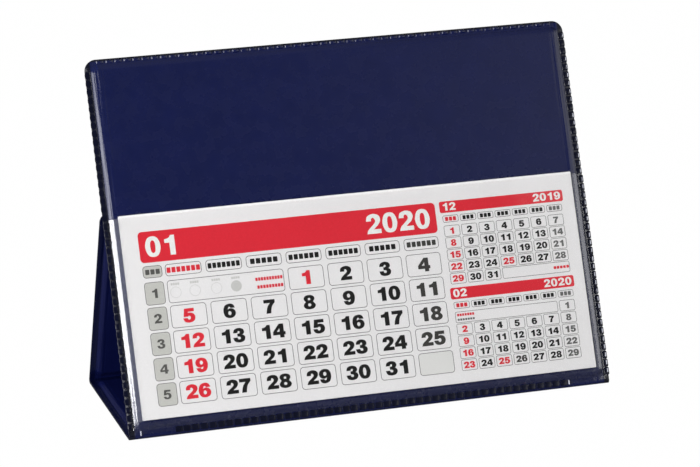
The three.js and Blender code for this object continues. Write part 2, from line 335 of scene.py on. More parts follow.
def vinyl(name, dark, light, glossiest, dullest, rim=None, ior=PLASTIC_IOR, crease=None,
          fold_height=FOLD_HEIGHT):
    """Soft PVC sheet: satin, with a fine grain, and not quite flat. The rim colour, a painted shade, is
    that of the side rims, and of all that lies beyond the crease, which is a direction and a distance
    along it."""
    material = new_material(name)
    shader = principled(material)
    shader.inputs["IOR"].default_value = ior
    tone = spread(material, noise_of(material, TONE_SPACING, TONE_DETAIL))
    colour = blend_colours(material, tone, dark, light)
    # The side rims and the strip beyond the crease get the darker rim colour: painted shade.
    if rim is not None:
        edge = near_sides(material, RIM_WIDTH)
        if crease is not None:
            edge = calculate(material, "MAXIMUM", edge, beyond(material, *crease))
        colour = blend_colours(material, edge, colour, rim)
    join(material, colour, shader.inputs["Base Color"])
    rubbed = spread(material, noise_of(material, GLOSS_SPACING, GLOSS_DETAIL), glossiest, dullest)
    join(material, rubbed, shader.inputs["Roughness"])
    waves = bump(material, noise_of(material, WAVE_SPACING, WAVE_DETAIL), WAVE_HEIGHT)
    waves = bump(material, pulled(material), fold_height, waves)
    grain = bump(material, noise_of(material, GRAIN_SPACING), GRAIN_HEIGHT, waves)
    join(material, grain, shader.inputs["Normal"])
    return material


def film(name):
    """Clear film: what is behind it, and a reflection that grows at a slant. Where it is stretched between
    the sheet and the weld, a grey painted sheen stands for more reflection."""
    material = new_material(name)
    mirror = principled(material, roughness=FILM_ROUGHNESS, metallic=1.0, colour=(1, 1, 1, 1))
    waves = bump(material, noise_of(material, FILM_WAVE_SPACING), FILM_WAVE_HEIGHT)
    waves = bump(material, pulled(material), FILM_FOLD_HEIGHT, waves)
    join(material, waves, mirror.inputs["Normal"])
    clear = add_node(material, "ShaderNodeBsdfTransparent")
    clear.inputs["Color"].default_value = FILM_CLEAR
    # Painted sheen: a grey diffuse layer in the stretched band, standing for reflection.
    sheen_paint = add_node(material, "ShaderNodeBsdfDiffuse")
    sheen_paint.inputs["Color"].default_value = SHEEN_PAINT_COLOUR
    stretched = calculate(material, "SUBTRACT", near_sides(material, *SHEEN_INNER_EDGE),
                          near_sides(material, *SHEEN_OUTER_EDGE))
    beside_sheet = beyond(material, FRONT.plate.along, FRONT.fold + SHEEN_FOOT)
    stretched = calculate(material, "MULTIPLY", stretched, beside_sheet)
    sheen_amount = calculate(material, "MULTIPLY", stretched, SHEEN_PAINT_SHARE)
    with_sheen = blend_shaders(material, sheen_amount, clear.outputs["BSDF"], sheen_paint.outputs["BSDF"])
    slant = add_node(material, "ShaderNodeFresnel")
    slant.inputs["IOR"].default_value = FILM_IOR
    join(material, waves, slant.inputs["Normal"])
    leaving = add_node(material, "ShaderNodeNewGeometry").outputs["Backfacing"]
    entering = calculate(material, "SUBTRACT", 1.0, leaving)
    mirrored = calculate(material, "MULTIPLY", slant.outputs["Fac"], entering)
    show(material, blend_shaders(material, mirrored, with_sheen, mirror.outputs["BSDF"]))
    return material


def paper(name, out):
    """White coated paper; on the pad's edges the leaves show as fine lines."""
    material = new_material(name)
    shader = principled(material, roughness=PAPER_ROUGHNESS)
    fibres = spread(material, noise_of(material, FIBRE_SPACING, FIBRE_DETAIL))
    white = blend_colours(material, fibres, *PAPER_WHITES)
    depth = reach_along(material, place(material), out)
    leaf = calculate(material, "PINGPONG", depth, LEAF_THICKNESS)
    shade = remapped(material, leaf, 0.0, LEAF_THICKNESS, low=LEAF_GAP_WHITENESS)
    normal = add_node(material, "ShaderNodeNewGeometry").outputs["Normal"]
    on_face = calculate(material, "GREATER_THAN", reach_along(material, normal, out), FACE_LIMIT)
    whiteness = calculate(material, "MAXIMUM", shade, on_face)
    tone = blend_colours(material, whiteness, LEAF_GAP_COLOUR, white)
    join(material, tone, shader.inputs["Base Color"])
    join(material, bump(material, fibres, FIBRE_HEIGHT), shader.inputs["Normal"])
    return material


def ink(name, colour, paler, ior=PLASTIC_IOR):
    """Printing ink, slightly mottled by the paper under it."""
    material = new_material(name)
    shader = principled(material, roughness=INK_ROUGHNESS)
    shader.inputs["IOR"].default_value = ior
    mottle = spread(material, noise_of(material, MOTTLE_SPACING, MOTTLE_DETAIL))
    join(material, blend_colours(material, mottle, colour, paler), shader.inputs["Base Color"])
    return material


def cardboard(name):
    material = new_material(name)
    shader = principled(material, roughness=BOARD_ROUGHNESS)
    fibres = spread(material, noise_of(material, BOARD_FIBRE_SPACING, BOARD_FIBRE_DETAIL))
    join(material, blend_colours(material, fibres, *BOARD_GREYS), shader.inputs["Base Color"])
    join(material, bump(material, fibres, BOARD_FIBRE_HEIGHT), shader.inputs["Normal"])
    return material


# The cover's top edge and the rear fold are darker, along strips of these widths: painted shade, like the
# darker side rims.
TOP_STRIP = 1.1 * MM
FOLD_STRIP = 1.8 * MM
# Painted shade: the cover's side rims and top strip take this darker colour, and so do the weld teeth.
RIM_SHADE_COLOUR = screen(5, 8, 26)
TOP_SHADE_CREASE = (FRONT.plate.along, FRONT.fold + FRONT_HEIGHT - TOP_STRIP)
COVER_VINYL = vinyl("cover_vinyl", screen(7, 16, 60), screen(9, 18, 64), 0.24, 0.30, RIM_SHADE_COLOUR,
                    crease=TOP_SHADE_CREASE)
# The lining's side rims are darker too: painted shade.
LINING_RIM_SHADE_COLOUR = screen(4, 8, 38)
# From inside the tent towards its rear fold, where the two skins are welded along the crease; the darker
# strip there is painted shade.
REAR = Vector((0, 0.8, -0.6))
REAR_SHADE_CREASE = (REAR, REAR.dot(FLAP.at(0, 0, 0)) - FOLD_STRIP)
LINING_VINYL = vinyl("lining_vinyl", screen(9, 14, 52), screen(11, 16, 56), 0.18, 0.24,
                     LINING_RIM_SHADE_COLOUR, ior=1.38, crease=REAR_SHADE_CREASE)
# The weld teeth's darkest tone is the rims' painted shade.
WELD_VINYL = vinyl("weld_vinyl", RIM_SHADE_COLOUR, screen(7, 10, 32), 0.18, 0.26, ior=1.42,
                   fold_height=WELD_FOLD_HEIGHT)
# Pale vinyl for small ticks that are painted highlights: the weld's glints.
PAINTED_GLINT_VINYL = vinyl("painted_glint_vinyl", screen(130, 132, 150), screen(196, 197, 208), 0.2, 0.3)
FILM = film("clear_film")
PAPER = paper("paper", PAD.out)
CARDBOARD = cardboard("board")
BLACK_INK = ink("black_ink", screen(6, 6, 6), screen(14, 13, 12), ior=1.3)
SATURDAY_INK = ink("saturday_ink", screen(40, 39, 36), screen(52, 51, 48))
GREY_INK = ink("grey_ink", screen(84, 84, 83), screen(98, 98, 97))
WEEK_INK = ink("week_ink", screen(72, 72, 69), screen(84, 84, 81))
RED_INK = ink("red_ink", screen(216, 14, 40), screen(222, 22, 46))
WHITE_INK = ink("white_ink", screen(232, 236, 233), screen(240, 242, 240))
LINE_INK = ink("line_ink", screen(80, 80, 78), screen(108, 108, 106))
MOON_INK = ink("moon_ink", screen(196, 196, 194), screen(204, 204, 202))
FIELD_INK = ink("field_ink", screen(194, 194, 189), screen(201, 201, 196))
PALE_INK = ink("pale_ink", screen(222, 222, 220), screen(226, 226, 224))


# Pieces. Edges with a larger angle than these, in degrees, stay sharp.
SHEET_EDGE = 40
TOOTH_EDGE = 50
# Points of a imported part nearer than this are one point.
SAME_POINT = 0.001 * MM
# How strongly a face's size counts where the normals of several faces are averaged.
FACE_SIZE_WEIGHT = 100


def in_scene(name, data):
    """A new object in the scene."""
    thing = bpy.data.objects.new(name, data)
    bpy.context.scene.collection.objects.link(thing)
    return thing


def paint(mesh, material):
    mesh.materials.clear()
    mesh.materials.append(material)


def add_piece(name, mesh, material):
    piece = in_scene(name, mesh)
    paint(mesh, material)
    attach(piece, "root")
    return piece


def mesh_of(form, name):
    """The form as a mesh whose faces all look outward."""
    bmesh.ops.recalc_face_normals(form, faces=form.faces)
    mesh = bpy.data.meshes.new(name)
    form.to_mesh(mesh)
    form.free()
    return mesh


def shade_round(mesh, edge):
    mesh.shade_smooth()
    mesh.set_sharp_from_angle(angle=math.radians(edge))


def smooth(piece):
    """Smooth shading in which the large flat faces stay flat and the cut edges stay sharp."""
    shade_round(piece.data, SHEET_EDGE)
    even = piece.modifiers.new("even", "WEIGHTED_NORMAL")
    even.keep_sharp = True
    even.weight = FACE_SIZE_WEIGHT


def dressed(node, name, material):
    """A CAD node's own form, with smooth rounded shoulders."""
    mesh = NODES[node].data.copy()
    mesh.name = name
    form = bmesh.new()
    form.from_mesh(mesh)
    bmesh.ops.remove_doubles(form, verts=form.verts, dist=SAME_POINT)
    form.to_mesh(mesh)
    form.free()
    piece = add_piece(name, mesh, material)
    smooth(piece)
    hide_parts(node)


dressed("outer_cover", "cover_skin", COVER_VINYL)
dressed("inner_lining", "lining_skin", LINING_VINYL)
dressed("tuck_strip", "tuck_band", COVER_VINYL)
for board in ("front_board", "base_board", "flap_board"):
    paint(NODES[board].data, CARDBOARD)
paint(NODES["calendar_pad"].data, PAPER)

# The film's shape from its edges inward, in millimetres: distance or height, and rise over the rim.
FILM_SIDE = ((0.5, 0), (1.3, 0.04), (1.98, 0.18), (2.70, 1.18), (3.47, 2.25), (5.3, 2.65))
FILM_FOOT = ((2.8, 0), (3.75, 1.48), (4.7, 2.18), (5.65, 2.54), (6.6, 2.65))
FILM_THICKNESS = 0.3 * MM


def pocket_film(name):
    """The pocket's film: flat on its rims, a steep step beside them, and nearly flat over the sheet."""
    heights = [v.co.dot(FRONT.plate.along) - FRONT.fold for v in NODES["clear_pocket"].data.vertices]
    left_side = [(distance * MM - HALF_WIDTH, rise * MM) for distance, rise in FILM_SIDE]
    columns = left_side + [(-across, rise) for across, rise in reversed(left_side)]
    rows = [(height * MM, rise * MM) for height, rise in FILM_FOOT]
    rows = [(min(heights), 0), *rows, (max(heights), rows[-1][1])]
    form = bmesh.new()
    rims = []
    for level in (FILM_RIM_FACE - FILM_THICKNESS, FILM_RIM_FACE):
        grid = [
            [form.verts.new(FRONT.at(across, height, level + min(side, foot))) for across, side in columns]
            for height, foot in rows
        ]
        for lower, upper in zip(grid, grid[1:]):
            for column in range(len(columns) - 1):
                form.faces.new((lower[column], lower[column + 1], upper[column + 1], upper[column]))
        right_side = [row[-1] for row in grid[1:-1]]
        back_down = [row[0] for row in reversed(grid[1:-1])]
        rims.append(grid[0] + right_side + grid[-1][::-1] + back_down)
    under, over = rims
    for here in range(len(under)):
        following = (here + 1) % len(under)
        form.faces.new((under[here], under[following], over[following], over[here]))
    piece = add_piece(name, mesh_of(form, name), FILM)
    smooth(piece)
    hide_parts("clear_pocket")


pocket_film("pocket_film")


# The heat weld: a row of small rounded pads along the front's rims, pressed by a toothed bar.
Tooth = namedtuple("Tooth", "length depth rise bevel corner")
RIM_TOOTH = Tooth(2.6 * MM, 2.1 * MM, 0.08 * MM, 0.34 * MM, 0.8 * MM)
OUTER_TOOTH = Tooth(2.8 * MM, 2.6 * MM, 0.34 * MM, 0.45 * MM, 0.5 * MM)
TOP_TOOTH = Tooth(2.9 * MM, 1.7 * MM, 0.42 * MM, 0.50 * MM, 0.55 * MM)
FOOT_TOOTH = Tooth(2.5 * MM, 2.3 * MM, 0.10 * MM, 0.30 * MM, 0.5 * MM)
FOOT_GLINT_TOOTH = Tooth(0.45 * MM, 1.9 * MM, 0.20 * MM, 0.15 * MM, 0.2 * MM)
FILM_TOOTH = Tooth(3.1 * MM, 2.2 * MM, 0.16 * MM, 0.34 * MM, 0.4 * MM)
FILM_LEFT_TOOTH = Tooth(2.5 * MM, 2.1 * MM, 0.17 * MM, 0.34 * MM, 0.7 * MM)
GLINT_TOOTH = Tooth(1.7 * MM, 0.5 * MM, 0.16 * MM, 0.12 * MM, 0.2 * MM)
# A tooth's wall rises this far before its bevel begins, and its corners shrink by this share of the bevel.
TOOTH_WALL = 0.05 * MM
CORNER_SHRINK = 0.8
TOOTH_SINK = 0.06 * MM
SIDE_PITCH = 3.3 * MM
TOP_PITCH = 3.7 * MM
FOOT_PITCH = 3.4 * MM
# The teeth differ in height by these shares, and are off their places by up to these millimetres.
RISE_SHARES = (0.7, 1.2)
OFF_PLACE = 0.15
UNEVEN = random.Random(7)


def rounded_ring(half_long, half_deep, corner, steps=3):
    """A rounded rectangle about the middle, as points in a plane."""
    points = []
    for quarter, (side, end) in enumerate([(1, 1), (-1, 1), (-1, -1), (1, -1)]):
        for step in range(steps + 1):
            angle = math.pi / 2 * (quarter + step / steps)
            points.append((
                side * (half_long - corner) + corner * math.cos(angle),
                end * (half_deep - corner) + corner * math.sin(angle),
            ))
    return points


def add_tooth(form, middle, forward, out, tooth, sink):
    sideways = Vector((-forward.y, forward.x))
    rise = tooth.rise * UNEVEN.uniform(*RISE_SHARES)
    rings = []
    for shrink, level in ((0, -sink), (0, TOOTH_WALL), (tooth.bevel, rise)):
        corner = tooth.corner - shrink * CORNER_SHRINK
        ring = rounded_ring(tooth.length / 2 - shrink, tooth.depth / 2 - shrink, corner)
        spots = [middle + forward * long + sideways * deep for long, deep in ring]
        rings.append([form.verts.new(FRONT.at(spot.x, spot.y, out + level)) for spot in spots])
    for lower, upper in zip(rings, rings[1:]):
        for corner in range(len(lower)):
            following = (corner + 1) % len(lower)
            form.faces.new((lower[corner], lower[following], upper[following], upper[corner]))
    form.faces.new(rings[-1])
    form.faces.new(list(reversed(rings[0])))


def tooth_row(form, start, end, pitch, out, tooth, sink=TOOTH_SINK):
    """Teeth along a straight run on the front panel, from one (across, height) point to another. They
    stand on a face that is this far out of the panel's middle, and reach down into it."""
    start, end = Vector(start), Vector(end)
    run = end - start
    forward = run.normalized()
    count = max(1, round(run.length / pitch))
    for number in range(count):
        off_place = forward * UNEVEN.uniform(-OFF_PLACE, OFF_PLACE) * MM
        middle = start + run * (number + 0.5) / count + off_place
        add_tooth(form, middle, forward, out, tooth, sink)


def teeth_piece(name, rows, material):
    form = bmesh.new()
    for row in rows:
        tooth_row(form, *row)
    piece = add_piece(name, mesh_of(form, name), material)
    shade_round(piece.data, TOOTH_EDGE)


# Where the rows run. The pads reach past the cover at the sides, and stay inside its top edge.
LEFT_OVERHANG = 0.35 * MM
RIGHT_OVERHANG = 0.2 * MM
TOP_INSET = 0.2 * MM
left_line = -(HALF_WIDTH - RIM_TOOTH.depth / 2 + LEFT_OVERHANG)
right_line = HALF_WIDTH - OUTER_TOOTH.depth / 2 + RIGHT_OVERHANG
film_line = HALF_WIDTH - FILM_TOOTH.depth / 2 + RIGHT_OVERHANG
film_top = 85 * MM
top_edge = FRONT_HEIGHT - COVER_CORNER
top_line = FRONT_HEIGHT - TOP_TOOTH.depth / 2 - TOP_INSET
top_end = HALF_WIDTH - COVER_CORNER
# Above the pocket the pads stand on the cover's rim, and beside it they press the film onto it.
film_sink = FILM_RIM_FACE - RIM_FACE
teeth_piece("side_weld_teeth", [
    ((left_line, film_top), (left_line, top_edge), SIDE_PITCH, RIM_FACE, RIM_TOOTH),
    ((right_line, film_top), (right_line, top_edge), SIDE_PITCH, RIM_FACE, OUTER_TOOTH),
    ((left_line, HINGE_WIDTH), (left_line, film_top), SIDE_PITCH, FILM_RIM_FACE, FILM_LEFT_TOOTH,
     film_sink),
    ((film_line, HINGE_WIDTH), (film_line, film_top), SIDE_PITCH, FILM_RIM_FACE, FILM_TOOTH, film_sink),
], WELD_VINYL)

# Small bright ticks along the right edge, painted highlights for the weld's glints. They lie a little
# above the rim's face and sink into it.
GLINT_INSET = 0.1 * MM
FILM_GLINT_LIFT = 0.1 * MM
RIM_GLINT_LIFT = 0.2 * MM
GLINT_SINK = 0.1 * MM
glint_line = HALF_WIDTH - GLINT_TOOTH.depth / 2 - GLINT_INSET
teeth_piece("weld_painted_glints", [
    ((glint_line, HINGE_WIDTH), (glint_line, film_top), SIDE_PITCH, FILM_RIM_FACE + FILM_GLINT_LIFT,
     GLINT_TOOTH, FILM_GLINT_LIFT + GLINT_SINK),
    ((glint_line, film_top), (glint_line, top_edge), SIDE_PITCH, RIM_FACE + RIM_GLINT_LIFT, GLINT_TOOTH,
     RIM_GLINT_LIFT + GLINT_SINK),
], PAINTED_GLINT_VINYL)
teeth_piece("top_weld_teeth", [
    ((-top_end, top_line), (top_end, top_line), TOP_PITCH, RIM_FACE, TOP_TOOTH),
], COVER_VINYL)

foot_line = 1.9 * MM
foot_end = 82 * MM
# A bright narrow mark, a painted highlight, stands at the left of the foot, and another at the right end
# of its row.
FOOT_GLINT_MARKS = (-96 * MM, foot_end)
teeth_piece("foot_weld_teeth", [
    ((-foot_end, foot_line), (foot_end, foot_line), FOOT_PITCH, FILM_RIM_FACE, FOOT_TOOTH, film_sink),
], WELD_VINYL)
teeth_piece("foot_painted_glints", [
    ((mark, foot_line), (mark + MM, foot_line), MM, FILM_RIM_FACE, FOOT_GLINT_TOOTH, film_sink)
    for mark in FOOT_GLINT_MARKS
], PAINTED_GLINT_VINYL)


# Print on the month sheet, in millimetres from the sheet's top left corner. Each layer of ink lies
# this far above the one below it, and is this deep.
INK_LIFT = 0.012
INK_DEPTH = 0.008
# The parts into which a smooth stretch of a digit is divided, the digits' height in their own units,
# their distance apart in these units, and how much wider they are drawn.
GLYPH_STEPS = 4
GLYPH_HEIGHT = 100
DIGIT_ADVANCE = 88
GLYPH_WIDEN = 1.12
HEADING_WIDEN = 1.0
# How far a date's strokes are widened on each side, as a share of its height.
DATE_GROWTH = 0.020

# Heavy plain digits, one unit a hundredth of their height. A point marked "c" is a corner, and the
# outline runs smoothly through the others.
DIGITS = {
    "0": [
        [(40, 102), (67, 91), (80, 50), (67, 9), (40, -2), (13, 9), (0, 50), (13, 91)],
        [(40, 82), (50, 74), (53, 50), (50, 26), (40, 18), (30, 26), (27, 50), (30, 74)],
    ],
    "1": [[(29, 0, "c"), (57, 0, "c"), (57, 100, "c"), (37, 100, "c"), (26, 86), (4, 80, "c"),
           (4, 62, "c"), (29, 62, "c")]],
    "2": [[(1, 0, "c"), (9, 20), (32, 41), (47, 56), (50, 69), (40, 82), (30, 77), (28, 65, "c"),
           (2, 65, "c"), (9, 90), (40, 102), (69, 93), (78, 71), (68, 48), (50, 32), (39, 22, "c"),
           (78, 22, "c"), (78, 0, "c")]],
    "3": [[(3, 70, "c"), (12, 93), (40, 102), (66, 94), (75, 75), (70, 61), (58, 53, "c"),
           (72, 46), (79, 29), (68, 6), (39, -2), (10, 7), (0, 32, "c"), (27, 32, "c"), (30, 21),
           (39, 17), (48, 20), (51, 30), (46, 40), (30, 43, "c"), (30, 60, "c"), (43, 62),
           (48, 72), (46, 80), (39, 83), (32, 79), (29, 70, "c")]],
    "4": [
        [(46, 0, "c"), (72, 0, "c"), (72, 21, "c"), (82, 21, "c"), (82, 41, "c"), (72, 41, "c"),
         (72, 100, "c"), (44, 100, "c"), (0, 43, "c"), (0, 21, "c"), (46, 21, "c")],
        [(46, 41, "c"), (46, 74, "c"), (21, 41, "c")],
    ],
    "5": [[(12, 100, "c"), (74, 100, "c"), (74, 79, "c"), (33, 79, "c"), (31, 64, "c"), (46, 68),
           (69, 59), (79, 34), (68, 8), (38, -2), (11, 6), (0, 29, "c"), (27, 29, "c"), (30, 20),
           (39, 16), (48, 21), (52, 34), (48, 45), (39, 49), (29, 43, "c"), (4, 43, "c")]],
    "6": [
        [(77, 73, "c"), (66, 95), (43, 102), (12, 89), (0, 48), (11, 10), (42, -2), (70, 9),
         (80, 33), (71, 57), (48, 67), (27, 57, "c"), (32, 77), (42, 83), (51, 73, "c")],
        [(41, 50), (50, 45), (54, 33), (50, 21), (41, 16), (32, 21), (28, 33), (32, 45)],
    ],
    "7": [[(2, 100, "c"), (76, 100, "c"), (76, 80, "c"), (53, 49), (43, 0, "c"), (14, 0, "c"),
           (25, 45), (47, 78, "c"), (2, 78, "c")]],
    "8": [
        [(39, 102), (65, 95), (75, 75), (62, 53, "c"), (79, 28), (68, 6), (39, -2), (10, 6),
         (-1, 28), (16, 53, "c"), (3, 75), (13, 95)],
        [(39, 84), (47, 81), (50, 73), (47, 65), (39, 62), (31, 65), (28, 73), (31, 81)],
        [(39, 43), (48, 39), (52, 29), (48, 20), (39, 16), (30, 20), (26, 29), (30, 39)],
    ],
}
DIGITS["9"] = [[(80 - point[0], 100 - point[1], *point[2:]) for point in outline]
               for outline in DIGITS["6"]]


def smooth_outline(points):
    """The outline with its smooth stretches divided, along a curve that runs through their points."""
    count = len(points)
    line = []
    for number, here in enumerate(points):
        following = points[(number + 1) % count]
        start, end = Vector(here[:2]), Vector(following[:2])
        line.append(tuple(start))
        if len(here) > 2 and len(following) > 2:
            continue
        before = start if len(here) > 2 else Vector(points[number - 1][:2])
        after = end if len(following) > 2 else Vector(points[(number + 2) % count][:2])
        for step in range(1, GLYPH_STEPS):
            share = step / GLYPH_STEPS
            line.append(tuple(0.5 * (
                2 * start
                + (end - before) * share
                + (2 * before - 5 * start + 4 * end - after) * share ** 2
                + (3 * start - before - 3 * end + after) * share ** 3
            )))
    return line


GLYPHS = {digit: [smooth_outline(outline) for outline in outlines] for digit, outlines in DIGITS.items()}


def area_of(points):
    """Twice the area inside an outline, and below 0 where it runs clockwise."""
    return sum(p.x * q.y - q.x * p.y for p, q in zip(points, points[1:] + points[:1]))


def bolder(outlines, growth):
    """The outlines moved apart, the first one outward and its holes inward."""
    grown = []
    for number, outline in enumerate(outlines):
        points = [Vector(point) for point in outline]
        side = growth if (area_of(points) > 0) == (number == 0) else -growth
        edges = [(q - p).normalized() for p, q in zip(points, points[1:] + points[:1])]
        line = []
        for point, into, away in zip(points, edges[-1:] + edges[:-1], edges):
            normal = Vector((into.y + away.y, -into.x - away.x)) / (1 + into.dot(away))
            line.append(tuple(point + normal * side))
        grown.append(line)
    return grown


class Print:
    """Flat printed shapes of one ink, collected and then made into one thin mesh."""

    def __init__(self, name, material, layer=1):
        self.name = name
        self.material = material
        self.top = layer * INK_LIFT * MM
        self.verts = []
        self.faces = []

    def shape(self, outlines):
        """An area bounded by closed outlines; the second and later ones are holes."""
        flat = [[Vector((x, -y, 0)) for x, y in outline] for outline in outlines]
        triangles = tessellate_polygon(flat)
        points = [point for outline in flat for point in outline]
        first = len(self.verts)
        for height in (self.top, self.top - INK_DEPTH * MM):
            self.verts += [self.spot(point, height) for point in points]
        under = len(points)
        for a, b, c in triangles:
            turn = (points[b] - points[a]).cross(points[c] - points[a]).z
            face = (a, b, c) if turn > 0 else (c, b, a)
            self.faces.append([first + corner for corner in face])
            self.faces.append([first + under + corner for corner in reversed(face)])
        offset = first
        for number, outline in enumerate(flat):
            inward = (area_of(outline) > 0) != (number == 0)
            for corner in range(len(outline)):
                here = offset + corner
                following = offset + (corner + 1) % len(outline)
                wall = [here, following, following + under, here + under]
                self.faces.append(wall if inward else wall[::-1])
            offset += len(outline)

    def spot(self, point, height):
        across = PAD.low[0] + point.x * MM
        along = PAD.high[1] + point.y * MM
        return PAD.at(across, along, PAD.high[2] + height)

    def field(self, left, top, right, bottom, radius):
        self.shape([rounded_box(left, top, right, bottom, radius)])

    def frame(self, left, top, right, bottom, radius, line):
        inner = rounded_box(left + line, top + line, right - line, bottom - line, radius - line)
        self.shape([rounded_box(left, top, right, bottom, radius), inner])

    def number(self, text, centre, baseline, height, widen=GLYPH_WIDEN, growth=0.0):
        """Digits centred on a place, standing on a baseline."""
        scale = (height - 2 * growth) / GLYPH_HEIGHT
        baseline -= growth
        start = centre - len(text) * DIGIT_ADVANCE * scale * widen / 2
        for place_number, digit in enumerate(text):
            outlines = GLYPHS[digit]
            reach = [x for outline in outlines for x, y in outline]
            middle = (min(reach) + max(reach)) / 2
            left = start + (place_number + 0.5) * DIGIT_ADVANCE * scale * widen
            self.shape(bolder([
                [(left + (x - middle) * scale * widen, baseline - y * scale) for x, y in outline]
                for outline in outlines
            ], growth))

    def make(self):
        mesh = bpy.data.meshes.new(self.name)
        mesh.from_pydata(self.verts, [], self.faces)
        mesh.update()
        add_piece(self.name, mesh, self.material)


BOX_STEPS = 4
DISC_STEPS = 6


def rounded_box(left, top, right, bottom, radius, steps=BOX_STEPS):
    middle_x, middle_y = (left + right) / 2, (top + bottom) / 2
    ring = rounded_ring((right - left) / 2, (bottom - top) / 2, radius, steps)
    return [(middle_x + x, middle_y + y) for x, y in ring]


def disc(x, y, radius):
    return rounded_box(x - radius, y - radius, x + radius, y + radius, radius, DISC_STEPS)


black = Print("print_black", BLACK_INK, 2)
saturday = Print("print_saturdays", SATURDAY_INK, 2)
grey = Print("print_grey", GREY_INK, 2)
moon = Print("print_moons", MOON_INK, 2)
week = Print("print_weeks", WEEK_INK, 2)
red = Print("print_red", RED_INK, 2)
white = Print("print_white", WHITE_INK, 2)
lines = Print("print_lines", LINE_INK, 2)
banners = Print("print_banners", RED_INK)
fields = Print("print_week_fields", FIELD_INK)
pale = Print("print_pale_field", PALE_INK)

SUNDAY = 0
SATURDAY = 6
WEEK = 7
# The corners of a day's heading are at most this share of its height.
HEADING_CORNER = 0.4


class MonthGrid:
    """The cells of one month: a row of day headings and the rows of dates."""

    def __init__(self, left, top, pitch_x, pitch_y, cell_width, cell_height, digit, radius, line,
                 saturdays):
        self.left, self.top = left, top
        self.pitch_x, self.pitch_y = pitch_x, pitch_y
        self.cell_width, self.cell_height = cell_width, cell_height
        self.digit, self.radius, self.line = digit, radius, line
        self.saturdays = saturdays

    def day_ink(self, column, red_day=False):
        if column == SUNDAY or red_day:
            return red
        return self.saturdays if column == SATURDAY else black

    def box(self, column, row, last_column=None):
        left = self.left + column * self.pitch_x
        last = column if last_column is None else last_column
        right = self.left + last * self.pitch_x + self.cell_width
        top = self.top + row * self.pitch_y
        return left, top, right, top + self.cell_height

    def cell(self, column, row, last_column=None):
        lines.frame(*self.box(column, row, last_column), self.radius, self.line)

    def date(self, text, column, row, colour):
        left, top, right, bottom = self.box(column, row)
        colour.number(text, (left + right) / 2, (top + bottom + self.digit) / 2, self.digit,
                      growth=self.digit * DATE_GROWTH)

    def dates(self, first_column, days, red_days, paler_days=()):
        for day in range(1, days + 1):
            row, column = divmod(first_column + day - 1, WEEK)
            self.cell(column, row)
            colour = saturday if day in paler_days else self.day_ink(column, day in red_days)
            self.date(str(day), column, row, colour)

    def headings(self, top, bottom, words, block_height):
        """A small box for each day, with a few blocks where the day's name would be."""
        for column, (count, word_width) in enumerate(words):
            left, _, right, _ = self.box(column, 0)
            radius = min(self.radius, (bottom - top) * HEADING_CORNER)
            lines.frame(left, top, right, bottom, radius, self.line)
            middle = (left + right) / 2
            blocks(self.day_ink(column), middle - word_width / 2, (top + bottom) / 2, count,
                   word_width, block_height)


# The gap after a block as a share of the distance between blocks, and a block's corners as a share
# of its width.
BLOCK_GAP = 0.22
BLOCK_CORNER = 0.15


def blocks(colour, left, centre_y, count, word_width, height):
    """A row of small blocks that stands for a word."""
    pitch = word_width / (count - BLOCK_GAP)
    width = pitch * (1 - BLOCK_GAP)
    for number in range(count):
        start = left + number * pitch
        colour.field(start, centre_y - height / 2, start + width, centre_y + height / 2,
                     width * BLOCK_CORNER)


# The large month. For each day's heading: how many blocks, and how wide they are together. Boxes are
# given by their left, top, right and bottom.
LONG_WORDS = ((7, 13.4), (7, 13.0), (5, 11.2), (6, 12.4), (6, 12.2), (5, 11.0), (6, 12.2))
MAIN_BANNER = (6.6, 7.0, 129.1, 19.2)
MAIN_BANNER_CORNER = 1.6
BANNER_BASELINE = 17.0
BANNER_DIGIT = 7.8
HEADING_TOP = 20.5
HEADING_BOTTOM = 25.25
HEADING_BLOCK = 2.1
MAIN_CORNER = 1.3
MAIN_LINE = 0.23
WEEK_HEADING_LEFT = 6.9
WEEK_LEFT = 6.75
WEEK_RIGHT = 14.7
WEEK_DIGIT = 3.6
MAIN_ROWS = 5
main = MonthGrid(left=15.9, top=26.9, pitch_x=16.38, pitch_y=9.89, cell_width=14.6, cell_height=8.95,
                 digit=5.5, radius=MAIN_CORNER, line=MAIN_LINE, saturdays=saturday)


def week_field(left, top, bottom):
    """A shaded cell in the column of week numbers."""
    fields.field(left, top, WEEK_RIGHT, bottom, MAIN_CORNER)
    lines.frame(left, top, WEEK_RIGHT, bottom, MAIN_CORNER, MAIN_LINE)


banners.field(*MAIN_BANNER, MAIN_BANNER_CORNER)
for text, centre in (("01", 15.6), ("2020", 113.0)):
    white.number(text, centre, BANNER_BASELINE, BANNER_DIGIT, HEADING_WIDEN)
main.headings(HEADING_TOP, HEADING_BOTTOM, LONG_WORDS, HEADING_BLOCK)
week_field(WEEK_HEADING_LEFT, HEADING_TOP, HEADING_BOTTOM)
blocks(week, left=7.9, centre_y=22.9, count=3, word_width=5.8, height=2.0)
for row in range(MAIN_ROWS):
    _, top, _, bottom = main.box(0, row)
    week_field(WEEK_LEFT, top, bottom)
    week.number(str(row + 1), (WEEK_LEFT + WEEK_RIGHT) / 2, (top + bottom + WEEK_DIGIT) / 2, WEEK_DIGIT)
main.cell(0, 0, last_column=2)
main.dates(first_column=3, days=31, red_days=(1,))
main.cell(SATURDAY, MAIN_ROWS - 1)
pale.field(*main.box(SATURDAY, MAIN_ROWS - 1), MAIN_CORNER)

